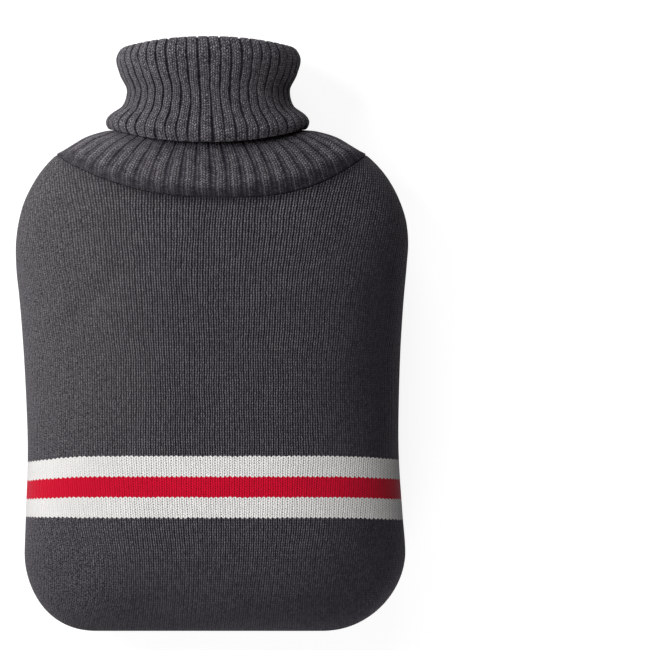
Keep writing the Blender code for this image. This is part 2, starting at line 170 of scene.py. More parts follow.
# How far the courses sink at the body's left and right edge, and how wide that bend is
SINK_Y = (0.0, 40.0, 64.4, 76.1, 87.8, 99.6, 150.0, 195.0, 225.0, 250.0)
SINK_LEFT = (0.0, 0.0, -0.4, 1.4, 2.8, 4.0, 5.0, 9.0, 10.0, 8.0)
SINK_RIGHT = (0.0, 0.8, 1.3, 1.3, 1.7, 2.3, 3.0, 3.0, 3.0, 3.0)
SINK_START = 62.0  # distance from the middle where the courses start to sink
SINK_RUN = 44.0
SINK_LIMIT = 1.3  # the sink goes on rising up to this share of the run

# --- Colours, 0 to 255 ---
CHARCOAL = (60, 56, 66)  # in the shade of the stitches
CHARCOAL_LIT = (61, 59, 62)
PALE_FIBRE_AND_PAINTED_LIGHT = (111, 109, 109)  # the light fibres in the yarn, and the painted light on the left side
WHITE = (219, 217, 215)
RED = (194, 0, 40)
FLOOR = (160, 160, 160)
FLOOR_GLOW = 0.86  # the lit table's own light
FLOOR_Z = -0.0001  # in metres, just under the back's flat, which it would flicker with
FLOOR_HALF = 3.0  # in metres

# --- The photograph's frame ---
FRAME_PIXELS = 650
MM_PER_PIXEL = 0.57
BODY_MIDDLE_PIXEL = 212.5
BOTTOM_SEAM_PIXEL = 631.0
LENS_MM = 1000.0  # long, because the photograph shows next to no perspective
SENSOR_MM = 36.0


# --- Small tools ---
def linear(colour):
    """A screen colour as the linear values that a shader takes."""
    parts = [c / 255.0 for c in colour]
    return tuple(p / 12.92 if p <= 0.04045 else ((p + 0.055) / 1.055) ** 2.4 for p in parts)


def smooth_curve(knots, values, at):
    """A smooth curve through values at knots, read at one or many places."""
    knots = np.asarray(knots, float)
    values = np.asarray(values, float)
    at = np.clip(np.asarray(at, float), knots[0], knots[-1])
    slopes = np.gradient(values, knots, axis=0)
    i = np.clip(np.searchsorted(knots, at, side="right") - 1, 0, len(knots) - 2)
    span = knots[i + 1] - knots[i]
    t = (at - knots[i]) / span
    if values.ndim > 1:
        shape = t.shape + (1,) * (values.ndim - 1)
        t = t.reshape(shape)
        span = span.reshape(shape)
    a = (1 + 2 * t) * (1 - t) ** 2
    b = t * (1 - t) ** 2
    c = t * t * (3 - 2 * t)
    d = t * t * (t - 1)
    return a * values[i] + b * span * slopes[i] + c * values[i + 1] + d * span * slopes[i + 1]


def quarter_round(share):
    """A quarter circle's rise, from 0 at share 0 to 1 at share 1."""
    share = np.clip(share, 0.0, 1.0)
    return np.sqrt(1.0 - (1.0 - share) ** 2)


def rounded(across, powers):
    """The height, 0 to 1, of a rounded section at across, -1 to 1."""
    across = np.clip(np.abs(across), 0.0, 1.0)
    return (1.0 - across ** powers[0]) ** (1.0 / powers[1])


def running_total(steps, axis=0):
    """The total of steps so far along an axis, starting with 0."""
    none_yet = np.zeros_like(np.take(steps, [0], axis=axis))
    return np.concatenate([none_yet, np.cumsum(steps, axis=axis)], axis=axis)


def travelled(points, axis=0):
    """How far each point lies from the first one along an axis of a row or grid."""
    return running_total(np.linalg.norm(np.diff(points, axis=axis), axis=-1), axis)


def along(points):
    """How far along its length each point of a row lies, 0 to 1."""
    length = travelled(points)
    return length / length[-1]


def unit(vectors):
    """The same directions at length 1."""
    return vectors / np.linalg.norm(vectors, axis=-1, keepdims=True)


def spaced(points, fractions, measure=None):
    """Points of a dense row, spaced by fractions of its length or of another measure."""
    if measure is None:
        measure = along(points)
    return np.stack([np.interp(fractions, measure, points[:, k]) for k in range(3)], axis=1)


def crowded_ends(count, crowding):
    """Fractions from 0 to 1, closer together at both ends."""
    t = np.linspace(0.0, 1.0, count)
    return (1.0 - crowding) * t + crowding * (0.5 - 0.5 * np.cos(math.pi * t))


WAVE_COUNT = 6
WAVE_LENGTHS = (0.7, 1.6)  # the shortest and the longest, as shares of the size asked for


def bulge(here, middle, run):
    """A soft bulge along one number: 1 at its middle, fading out over run on both sides."""
    return math.exp(-((here - middle) / run) ** 2)


def waves(x, y, seed, size):
    """Soft unevenness between about -1 and 1, made of a few waves about size long."""
    dice = np.random.default_rng(seed)
    total = np.zeros(np.broadcast(x, y).shape)
    for _ in range(WAVE_COUNT):
        turn = dice.uniform(0.0, 2.0 * math.pi)
        length = size * dice.uniform(*WAVE_LENGTHS)
        phase = dice.uniform(0.0, 2.0 * math.pi)
        lengthwise = x * math.cos(turn) + y * math.sin(turn)
        total = total + np.sin(2.0 * math.pi * lengthwise / length + phase)
    return total / (WAVE_COUNT / 2)


# --- The body ---
BODY_Y = [s.y for s in BODY]
CROWN = max(s.front for s in BODY)


def body_half_width(y):
    """The outline's half width, with the rounded bottom corners."""
    width = smooth_curve(BODY_Y, [s.half_width for s in BODY], y)
    corner = BODY[0].half_width - FLAT_BOTTOM
    return width - corner * (1.0 - quarter_round(np.asarray(y) / CORNER_HEIGHT))


def body_middle(y):
    """How far right the outline's middle lies."""
    return smooth_curve(BODY_Y, [s.stray for s in BODY], y)


def body_share(x, y):
    """How far across the body a point lies, from -1 at its left seam to 1 at its right."""
    return (x - body_middle(y)) / body_half_width(y)


def dents(x, y):
    """How far the soft dents sink the front at x, y."""
    depth = np.zeros(np.shape(x))
    for dent in DENTS:
        turn = math.radians(dent.turn)
        dx = x - dent.x
        dy = y - dent.y
        lengthwise = (dx * math.cos(turn) + dy * math.sin(turn)) / dent.long
        crosswise = (-dx * math.sin(turn) + dy * math.cos(turn)) / dent.short
        depth = depth + dent.depth * np.exp(-lengthwise ** 2 - crosswise ** 2)
    return depth


def front_z(x, y):
    """Height of the front's outer face."""
    crown = smooth_curve(BODY_Y, [s.front for s in BODY], y) * quarter_round(y / FRONT_ROUNDING)
    rise = crown * rounded(body_share(x, y), FRONT_SECTION)
    return SEAM_Z + rise - dents(x, y) * rise / CROWN


def back_z(x, y):
    """Height of the back's outer face, flat in the middle where it lies on the surface."""
    depth = smooth_curve(BODY_Y, [s.back for s in BODY], y) * quarter_round(y / BACK_ROUNDING)
    across = (np.abs(body_share(x, y)) - BACK_FLAT) / (1.0 - BACK_FLAT)
    return SEAM_Z - depth * rounded(np.clip(across, 0.0, 1.0), BACK_SECTION)


def neckline_dip(neckline, x, half_width):
    """The neckline's U: 1 where it is lowest, 0 at both side seams."""
    left = np.clip((neckline.x - x) / (neckline.x + half_width), 0.0, 1.0) ** neckline.left
    right = np.clip((x - neckline.x) / (half_width - neckline.x), 0.0, 1.0) ** neckline.right
    return 1.0 - left - right


def body_row(y_side, fractions, is_front):
    """A row of outer points across a panel, left to right, from seam to seam."""
    neckline = FRONT_NECKLINE if is_front else BACK_NECKLINE
    half_width = float(body_half_width(y_side))
    turn = np.linspace(-math.pi / 2, math.pi / 2, DENSE)
    across = half_width * np.sin(turn)
    x = float(body_middle(y_side)) + across
    bend = max((y_side - BEND_START_Y) / (SHOULDER_Y - BEND_START_Y), 0.0)
    y = y_side - bend * neckline.drop * neckline_dip(neckline, across, half_width)
    z = front_z(x, y) if is_front else back_z(x, y)
    return spaced(np.stack([x, y, z], axis=1), fractions)


def outline_normal(y, side):
    """The outline's outward direction at its right (side 1) or left (side -1) seam."""
    low = max(y - NEAR, 0.0)
    high = y + NEAR
    run = side * (body_half_width(high) - body_half_width(low))
    run = float(run + body_middle(high) - body_middle(low))
    rise = high - low
    size = math.hypot(run, rise)
    return np.array([side * rise / size, -side * run / size, 0.0])


def grid_normals(points, outward):
    """Unit normals of a grid of points, on the side that outward gives."""
    down = np.gradient(points, axis=0)
    across = np.gradient(points, axis=1)
    return unit(np.cross(across, down) * outward)


# --- Meshes ---
def linked(name, data):
    """A new object in the scene."""
    made = bpy.data.objects.new(name, data)
    bpy.context.scene.collection.objects.link(made)
    return made


def new_material(name, inputs):
    """A material with its shader's inputs set."""
    made = bpy.data.materials.new(name)
    made.use_nodes = True
    for key, value in inputs.items():
        made.node_tree.nodes["Principled BSDF"].inputs[key].default_value = value
    return made


def grid_cells(first, rows, columns, flip):
    """Corner indices of a grid's cells, from its first index."""
    r, c = np.meshgrid(np.arange(rows - 1), np.arange(columns - 1), indexing="ij")
    a = first + r * columns + c
    cells = np.stack([a, a + 1, a + columns + 1, a + columns], axis=-1).reshape(-1, 4)
    return cells[:, ::-1] if flip else cells


def knit_mesh(name, points, faces, maps, slots, materials):
    """A mesh object from points in millimetres, faces, UV maps by corner and face slots."""
    mesh = bpy.data.meshes.new(name)
    mesh.from_pydata((placed(points) * MM).tolist(), [], faces.tolist())
    mesh.update()
    for map_name, corners in maps.items():
        layer = mesh.uv_layers.new(name=map_name)
        layer.data.foreach_set("uv", np.ascontiguousarray(corners, dtype=np.float32).ravel())
    for one in materials:
        mesh.materials.append(one)
    mesh.polygons.foreach_set("material_index", np.asarray(slots, dtype=np.int32))
    mesh.shade_smooth()
    return linked(name, mesh)


def origin_shift():
    """From the body's own millimetres to the shared frame's."""
    y = np.linspace(0.0, SHOULDER_Y, DENSE)
    left = np.min(body_middle(y) - body_half_width(y))
    return np.array([cad_box[0][0] / MM - left, cad_box[0][1] / MM, 0.0])


SHIFT = origin_shift()


def placed(points):
    """Points of the body's own millimetres in the shared frame's."""
    return points + SHIFT


# --- The panels ---
PANEL_COLUMNS = 181
ROUNDING_ROWS = 24  # rows over the rounding above the bottom seam
PLAIN_ROWS = 112  # rows above it
END_CROWDING = 0.7  # how much columns crowd at the side seams
TOP_CROWDING = 0.6  # and rows at the neckline
SEAM_TURN = 2.4  # width of the strip that turns in along a seam
SEAM_SINK = 0.5  # how far its edge turns in
SEAM_FADE = 14.0  # how far below the collar this starts
UNEVEN = 0.22  # height of the front's soft unevenness
UNEVEN_SIZE = 34.0
UNEVEN_FADE = 20.0  # how far from the seams it is full
UNEVEN_SEED = 4

# Rectangles of the baked map: left, bottom, width and height
BAKE_OUTER = (0.004, 0.26, 0.992, 0.736)
BAKE_INNER = (0.004, 0.004, 0.6, 0.23)
BAKE_RIM = (0.004, 0.242, 0.99, 0.01)
BAKE_COLLAR = (0.004, 0.004, 0.992, 0.992)


def baked(rectangle, across, up):
    """Places on the baked map, from shares across and up one of its rectangles."""
    left, bottom, width, height = rectangle
    return np.stack([left + width * across, bottom + height * up], axis=-1)


def crowded_top(count):
    """Fractions from 1 to 0 that come closer together towards 0."""
    t = np.linspace(1.0, 0.0, count)
    return t - TOP_CROWDING * np.sin(math.pi * t) / math.pi * (1.0 - t)


def panel_heights(rounding):
    """Heights of a panel's rows at the side seams, crowded at the bottom and the neckline."""
    turn = np.linspace(0.0, math.pi / 2, ROUNDING_ROWS + 1)
    low = rounding * (1.0 - np.cos(turn))
    high = rounding + (SHOULDER_Y - rounding) * (1.0 - crowded_top(PLAIN_ROWS))
    return np.concatenate([low[:-1], high])


def edge_distance(points):
    """How far each point of a panel's grid lies from the nearest side or bottom seam."""
    from_left = travelled(points, axis=1)
    from_side = np.minimum(from_left, from_left[:, -1:] - from_left)
    return np.minimum(from_side, travelled(points))


def panel_wales(points):
    """Wales across a panel from its middle line, at each of its points."""
    x = points[:, :, 0]
    y = points[:, :, 1]
    reach = running_total(np.hypot(np.diff(x, axis=1), np.diff(points[:, :, 2], axis=1)), axis=1)
    middle = [np.interp(float(body_middle(row.mean())), across, far)
              for row, across, far in zip(y, x, reach)]
    reach = reach - np.array(middle)[:, None]
    above = np.maximum(y - LEAN_START_Y, 0.0)
    below = np.maximum(CORNER_START_Y - y, 0.0)
    lean = LEAN_BEND / 2 * above ** 2 * np.interp(x, LEAN_X, LEAN_SHARE)
    lean = lean + CORNER_BEND / 2 * below ** 2 * np.sign(x) * (x / CORNER_X) ** 2
    return (reach - lean) / np.interp(y, WALE_Y, WALE_WIDTH)


def panel_courses(points, is_front):
    """Courses up a panel, at each of its points."""
    x = points[:, :, 0]
    y = points[:, :, 1]
    profile_y = np.linspace(0.0, SHOULDER_Y, DENSE)
    surface = front_z if is_front else back_z
    profile_z = surface(np.zeros(DENSE), profile_y)
    climb = running_total(np.hypot(np.diff(profile_y), np.diff(profile_z)))
    climb = climb - np.interp(STRIPE_FOOT, profile_y, climb)
    sink_share = np.clip((np.abs(x) - SINK_START) / SINK_RUN, 0.0, SINK_LIMIT) ** 2
    left = np.interp(y, SINK_Y, SINK_LEFT)
    right = np.interp(y, SINK_Y, SINK_RIGHT)
    sink = sink_share * np.where(x < 0.0, left, right)
    return (np.interp(y, profile_y, climb) + sink) / COURSE + STRIPE_COURSES[0]


def panel_piece(name, is_front, materials):
    """One panel as a sheet, with a turned-in edge along its seams."""
    side = 1.0 if is_front else -1.0
    heights = panel_heights(FRONT_ROUNDING if is_front else BACK_ROUNDING)
    fractions = crowded_ends(PANEL_COLUMNS, END_CROWDING)
    outer = np.stack([body_row(y, fractions, is_front) for y in heights])
    stitches = np.stack([panel_wales(outer), panel_courses(outer, is_front)], axis=-1)
    normals = grid_normals(outer, side)
    for r, y in enumerate(heights):
        normals[r, 0] = outline_normal(y, -1.0)
        normals[r, -1] = outline_normal(y, 1.0)
    normals[0, :] = (0.0, -1.0, 0.0)
    distance = edge_distance(outer)
    turn_in = SEAM_SINK * np.clip(1.0 - distance / SEAM_TURN, 0.0, 1.0) ** 2
    turn_in = turn_in * np.clip((SHOULDER_Y - heights) / SEAM_FADE, 0.0, 1.0)[:, None]
    lift = -turn_in
    if is_front:
        soft = UNEVEN * waves(outer[:, :, 0], outer[:, :, 1], UNEVEN_SEED, UNEVEN_SIZE)
        lift = soft * np.clip(distance / UNEVEN_FADE, 0.0, 1.0) - turn_in
    outer = outer + normals * lift[:, :, None]
    outer[:, :, 2] = side * np.maximum(side * (outer[:, :, 2] - SEAM_Z), SEAM_GAP / 2) + SEAM_Z
    outer[-1, :, 1] -= NECKLINE_GAP / 2
    inner = outer - PANEL_THICKNESS * normals
    below = travelled(outer[::-1])[::-1]
    return sheet_from_layers(name, outer, inner, stitches, below, is_front, materials)


def sheet_from_layers(name, outer, inner, stitches, below, is_front, materials):
    """A closed sheet from its outer and inner grids and the rim between them. Below is each
    point's distance from the neckline."""
    rows, columns = outer.shape[:2]
    count = rows * columns
    points = np.concatenate([outer.reshape(-1, 3), inner.reshape(-1, 3)])
    across, up = np.meshgrid(np.linspace(0.0, 1.0, columns), np.linspace(0.0, 1.0, rows))
    neckline = np.stack([below, below], axis=-1)
    bake = [baked(rectangle, across, up) for rectangle in (BAKE_OUTER, BAKE_INNER)]
    layers = {"stitch": [stitches] * 2, "neckline": [neckline] * 2, "OFBake": bake}
    outer_cells = grid_cells(0, rows, columns, not is_front)
    inner_cells = grid_cells(count, rows, columns, is_front)
    index = np.arange(count).reshape(rows, columns)
    rim = np.concatenate([index[0], index[1:, -1], index[-1, -2::-1], index[-2:0:-1, 0]])
    after = np.roll(rim, -1)
    rim_cells = np.stack([after, rim, rim + count, after + count], axis=-1)
    if not is_front:
        rim_cells = rim_cells[:, ::-1]
    faces = np.concatenate([outer_cells, inner_cells, rim_cells])
    maps = {key: np.stack(pair).reshape(-1, 2)[faces] for key, pair in layers.items()}
    maps["OFBake"][-len(rim):] = rim_strip(len(rim), not is_front)
    slots = np.zeros(len(faces))
    slots[len(outer_cells):len(outer_cells) + len(inner_cells)] = 1
    return knit_mesh(name, points, faces, maps, slots, materials)


def rim_strip(count, flip):
    """Corners of the rim's faces on the baked map: a narrow strip of its own."""
    start = np.arange(count) / count
    end = np.arange(1, count + 1) / count
    corners = ((end, 1.0), (start, 1.0), (start, 0.0), (end, 0.0))
    strip = np.stack([baked(BAKE_RIM, across, np.full(count, up)) for across, up in corners],
                     axis=1)
    return strip[:, ::-1] if flip else strip


# --- The collar ---
# Where a rib's points stand across it, from the middle of one furrow to the next, and how
# high they rise, as shares
RIB_PHASES = (0.0, 0.025, 0.055, 0.095, 0.2, 0.35, 0.5, 0.65, 0.8, 0.905, 0.945, 0.975)
RIB_RISE = (0.0, 0.3, 0.68, 0.88, 0.97, 1.0, 1.0, 1.0, 0.97, 0.88, 0.68, 0.3)
GATHER = (0.0, 0.36, 0.1, 0.0)  # drift of the first rings' ribs to the middle, in ribs

# The yoke's spread ribs are lower: their shares of the full height at distances from its edge.
# They rise to the full height between the two rings.
YOKE_RIB_PLACES = (2.5, 9.0, 17.0)
YOKE_RIB_SHARES = (0.06, 0.25, 0.5)
FULL_RIB_RINGS = (4.0, 5.0)
HIDDEN_RIB = 0.35  # share of their height that ribs keep between neck and cuff
NECK_RIB = 0.8  # the same inside the neck
SEAM_RIB = 0.5  # the same under the yoke's edge

# Ribs wander sideways, and change their width: share, seed and size of the waves
RIB_STRAY = 0.4
RIB_WANDER = ((0.7, 21, 30.0), (0.6, 23, 11.0))
RIB_WIDTH_CHANGE = (0.1, 22, 40.0)
RIB_SPREAD = 7.3  # how far apart in those waves two ribs are
STRAY_START = 2.0  # distance from the yoke's edge where they start to wander
STRAY_RUN = 14.0

YOKE_LIP = 1.7  # how far the yoke swells before it turns down to the panels,
YOKE_LIP_PLACE = 8.0  # how far from its edge, and over what length
YOKE_LIP_RUN = 4.0
YOKE_SINK = 1.9  # how far the yoke sinks under the hem
YOKE_SINK_RING = 3.9
YOKE_SINK_RUN = 6.5
HEM_SWELL = 0.9  # how far the cuff's hem swells
HEM_SWELL_PLACE = 4.2
HEM_SWELL_RUN = 2.6
HEM_CURL = 2.2  # how far its edge turns in, and over what length
HEM_CURL_RUN = 4.6
SIDE_CURL = 0.35  # share of that at the sides
EDGE_BLUNT = 0.06  # keeps the cloth's very edge from ending in a line
LOWEST = 0.02  # the collar stays above this height

# Rings of the mesh: distances from the cloth's edge that round it, steps where they show and
# where they are hidden, and the section's rings between which they are hidden
EDGE_PLACES = (0.0, 0.12, 0.4, 0.8, 1.3, 2.0)
EDGE_SPACE = 1.0
COLLAR_STEP = 1.5
HIDDEN_STEP = 3.4
UNDER_HEM_RING = 3.8
MOUTH_RING = 6.0
COLLAR_COURSE = 1.35  # height of a stitch of the ribbed knit


def neckline_ring(fractions):
    """The yoke's edge on the two panels' necklines: middle surface and outward directions."""
    front = fractions[fractions < 0.5] * 2.0
    back = fractions[fractions >= 0.5] * 2.0 - 1.0
    middles = []
    directions = []
    heights = (SHOULDER_Y - NEAR, SHOULDER_Y, SHOULDER_Y + NEAR)
    for share, is_front in ((1.0 - front, True), (back, False)):
        order = np.argsort(share)
        rows = np.stack([body_row(y, share[order], is_front) for y in heights])
        normals = grid_normals(rows, 1.0 if is_front else -1.0)[1]
        normals[share[order] == 0.0] = outline_normal(SHOULDER_Y, -1.0)
        normals[share[order] == 1.0] = outline_normal(SHOULDER_Y, 1.0)
        middle = rows[1] + normals * (YOKE_PROUD - COLLAR_THICKNESS / 2)
        middle[:, 1] += NECKLINE_GAP / 2
        middles.append(middle[np.argsort(order)])
        directions.append(normals[np.argsort(order)])
    return np.concatenate(middles), np.concatenate(directions)


def oval_ring(ring, fractions):
    """An oval ring of the collar's middle surface. Fraction 0 is its right, 0.25 its front."""
    turn = np.linspace(0.0, math.pi, DENSE)
    across, up = (2.0 / power for power in OVAL_SECTION)
    cos = np.sign(np.cos(turn)) * np.abs(np.cos(turn)) ** across
    sin = np.sin(turn) ** up
    made = np.empty((len(fractions), 3))
    for half, depth, y_end in ((0, ring.front, ring.y_front), (1, -ring.back, ring.y_back)):
        direction = 1.0 - 2.0 * half
        x = NECK_SHIFT * ring.shift + direction * ring.half_width * cos
        y = ring.y_side + (y_end - ring.y_side) * np.sin(turn) ** 2
        z = NECK_Z + depth * sin
        points = np.stack([x, y, z], axis=1)
        measure = EVEN_RIBS * along(points) + (1.0 - EVEN_RIBS) * turn / math.pi
        chosen = (fractions >= 0.5 * half) & (fractions < 0.5 * half + 0.5)
        made[chosen] = spaced(points, fractions[chosen] * 2.0 - half, measure)
    return made


def twist(count):
    """How far the ribs have drifted around at a ring of the cuff, as a share of the ring."""
    return RIB_TWIST / RIB_COUNT * np.interp(count, (TOP_RING, len(RINGS)), (0.0, 1.0))


class Collar:
    """The collar's middle surface, read at any distance along its folded section."""

    def __init__(self, fractions):
        edge, self.edge_normals = neckline_ring(fractions)
        rings = [edge]
        for count, ring in enumerate(RINGS, 1):
            drift = np.interp(count, np.arange(len(GATHER)), GATHER) / RIB_COUNT
            drift = drift * np.sin(4.0 * math.pi * fractions)
            rings.append(oval_ring(ring, (fractions - twist(count) + drift) % 1.0))
        self.rings = np.stack(rings)
        steps = np.linalg.norm(np.diff(self.rings, axis=0), axis=2).mean(axis=1)
        self.knots = running_total(steps)
        self.end = self.knots[-1]

    def place(self, count):
        """Turn a place counted in rings into one measured along the section."""
        return float(np.interp(count, np.arange(len(self.knots)), self.knots))

    def read(self, here):
        """Points, outer-face normals and directions around, of one ring."""
        places = np.clip([here - NEAR, here, here + NEAR], 0.0, self.end)
        before, points, after = smooth_curve(self.knots, self.rings, places)
        around = unit(np.roll(points, -1, axis=0) - np.roll(points, 1, axis=0))
        normals = unit(np.cross(after - before, around))
        share = max(1.0 - here / NEAR, 0.0)
        return points, unit((1.0 - share) * normals + share * self.edge_normals), around


def half_thickness(surface, here):
    """Half the cloth's thickness, rounded off at both of its edges."""
    half = COLLAR_THICKNESS / 2
    from_edge = min(here, surface.end - here)
    return half * math.sqrt(1.0 - max(1.0 - (from_edge + EDGE_BLUNT) / half, 0.0) ** 2)


def rib_height(surface, here):
    """Height of the ribs at a place along the section."""
    full = [surface.place(count) for count in FULL_RIB_RINGS]
    shares = (*YOKE_RIB_SHARES, YOKE_RIB_SHARES[-1], 1.0)
    return RIB_HEIGHT * np.interp(here, (*YOKE_RIB_PLACES, *full), shares)


def rib_sideways(here):
    """Sideways shift of each point of a ring, by its rib's wandering and change of width."""
    ribs = np.arange(RIB_COUNT) * RIB_SPREAD
    shift = RIB_STRAY * sum(share * waves(ribs, here, seed, size)
                            for share, seed, size in RIB_WANDER)
    share, seed, size = RIB_WIDTH_CHANGE
    width = 1.0 + share * waves(ribs, here, seed, size)
    phase = np.tile(np.array(RIB_PHASES), RIB_COUNT)
    nearest = np.where(phase > 0.5, phase - 1.0, phase)
    per_rib = len(RIB_PHASES)
    return np.repeat(shift, per_rib) + nearest * (np.repeat(width, per_rib) - 1.0)


def collar_ring(surface, here, is_outer, rib_share):
    """One ring of the collar's mesh, on the outer or the inner face of its cloth."""
    points, normals, around = surface.read(here)
    facing = np.abs(normals[:, 2])
    from_hem = surface.end - here
    rise = rib_height(surface, here) * rib_share * np.tile(RIB_RISE, RIB_COUNT)
    if is_outer:
        lip = YOKE_LIP * bulge(here, YOKE_LIP_PLACE, YOKE_LIP_RUN)
        swell = lip * np.clip(normals[:, 2], 0.0, 1.0)
    else:
        swell = HEM_SWELL * bulge(from_hem, HEM_SWELL_PLACE, HEM_SWELL_RUN)
    curl = HEM_CURL * max(1.0 - from_hem / HEM_CURL_RUN, 0.0) ** 2
    curl = curl * (SIDE_CURL + (1.0 - SIDE_CURL) * facing)
    sink = YOKE_SINK * bulge(here, surface.place(YOKE_SINK_RING), YOKE_SINK_RUN)
    shift = curl - sink * facing ** 2
    side = 1.0 if is_outer else -1.0
    stray = rib_sideways(here) * np.clip((here - STRAY_START) / STRAY_RUN, 0.0, 1.0)
    moved = points + around * stray[:, None]
    moved = moved + (side * (half_thickness(surface, here) + rise + swell)
                     + shift)[:, None] * normals
    moved[:, 2] = np.maximum(moved[:, 2], LOWEST)
    return moved


def collar_places(surface):
    """The mesh's rings, along the cloth's outer face and back along the inner: distance along
    the section, whether it is the outer face, and share of the ribs' height."""
    end = surface.end
    under_hem = surface.place(UNDER_HEM_RING)
    mouth = surface.place(MOUTH_RING)
    edge_width = EDGE_PLACES[-1]
    closing = [end - back for back in reversed(EDGE_PLACES)]
    seen = np.arange(edge_width + EDGE_SPACE, under_hem, COLLAR_STEP)
    hidden = np.arange(under_hem, end - edge_width, HIDDEN_STEP)
    cuff = np.arange(end - edge_width - EDGE_SPACE, mouth, -COLLAR_STEP)
    neck = np.arange(mouth, edge_width + EDGE_SPACE, -HIDDEN_STEP)
    runs = (((*EDGE_PLACES, *seen), True, 1.0),
            ((*hidden, *closing), True, HIDDEN_RIB),
            ((*reversed(closing), *cuff), False, 1.0),
            (neck, False, NECK_RIB),
            (EDGE_PLACES[::-1], False, SEAM_RIB))
    return [(here, is_outer, ribs) for places, is_outer, ribs in runs for here in places]


def collar_piece(name, materials):
    """Yoke, neck, fold and cuff as one folded ribbed sheet."""
    fractions = ((np.arange(RIB_COUNT)[:, None] + np.array(RIB_PHASES)) / RIB_COUNT).ravel()
    surface = Collar(fractions)
    places = collar_places(surface)
    rings = np.stack([collar_ring(surface, *place) for place in places])
    rows, columns = rings.shape[:2]
    index = np.arange(rows * columns).reshape(rows, columns)
    wrapped = np.pad(index, ((0, 1), (0, 1)), mode="wrap")
    faces = ring_corners(wrapped).reshape(-1, 4)
    ribs = np.append(fractions * RIB_COUNT, RIB_COUNT)
    here = np.array([place[0] for place in places] + [places[0][0]]) / COLLAR_COURSE
    round_map = np.meshgrid(ribs / RIB_COUNT, np.linspace(0.0, 1.0, rows + 1))
    grids = {"stitch": np.stack(np.meshgrid(ribs, here), axis=-1),
             "OFBake": baked(BAKE_COLLAR, *round_map)}
    maps = {key: ring_corners(grid).reshape(-1, 4, 2) for key, grid in grids.items()}
    slots = np.zeros(len(faces))
    return knit_mesh(name, rings.reshape(-1, 3), faces, maps, slots, materials)


def ring_corners(grid):
    """What a grid holds at the four corners of each of its cells."""
    return np.stack([grid[:-1, :-1], grid[1:, :-1], grid[1:, 1:], grid[:-1, 1:]], axis=2)


# --- Shader graphs ---
YARN = {"Roughness": 0.9, "Specular IOR Level": 0.12, "Sheen Weight": 0.15,
        "Sheen Roughness": 0.45, "Sheen Tint": (0.94, 0.86, 1.0, 1.0)}
RELIEF_DEPTH = 0.0006  # in metres, of the stitches


class Value:
    """A number in a shader graph, with arithmetic that adds its nodes."""

    def __init__(self, graph, socket):
        self.graph = graph
        self.socket = socket

    def __add__(self, other):
        return self.graph.math("ADD", self, other)

    def __sub__(self, other):
        return self.graph.math("SUBTRACT", self, other)

    def __rsub__(self, other):
        return self.graph.math("SUBTRACT", other, self)

    def __mul__(self, other):
        return self.graph.math("MULTIPLY", self, other)

    __radd__ = __add__
    __rmul__ = __mul__


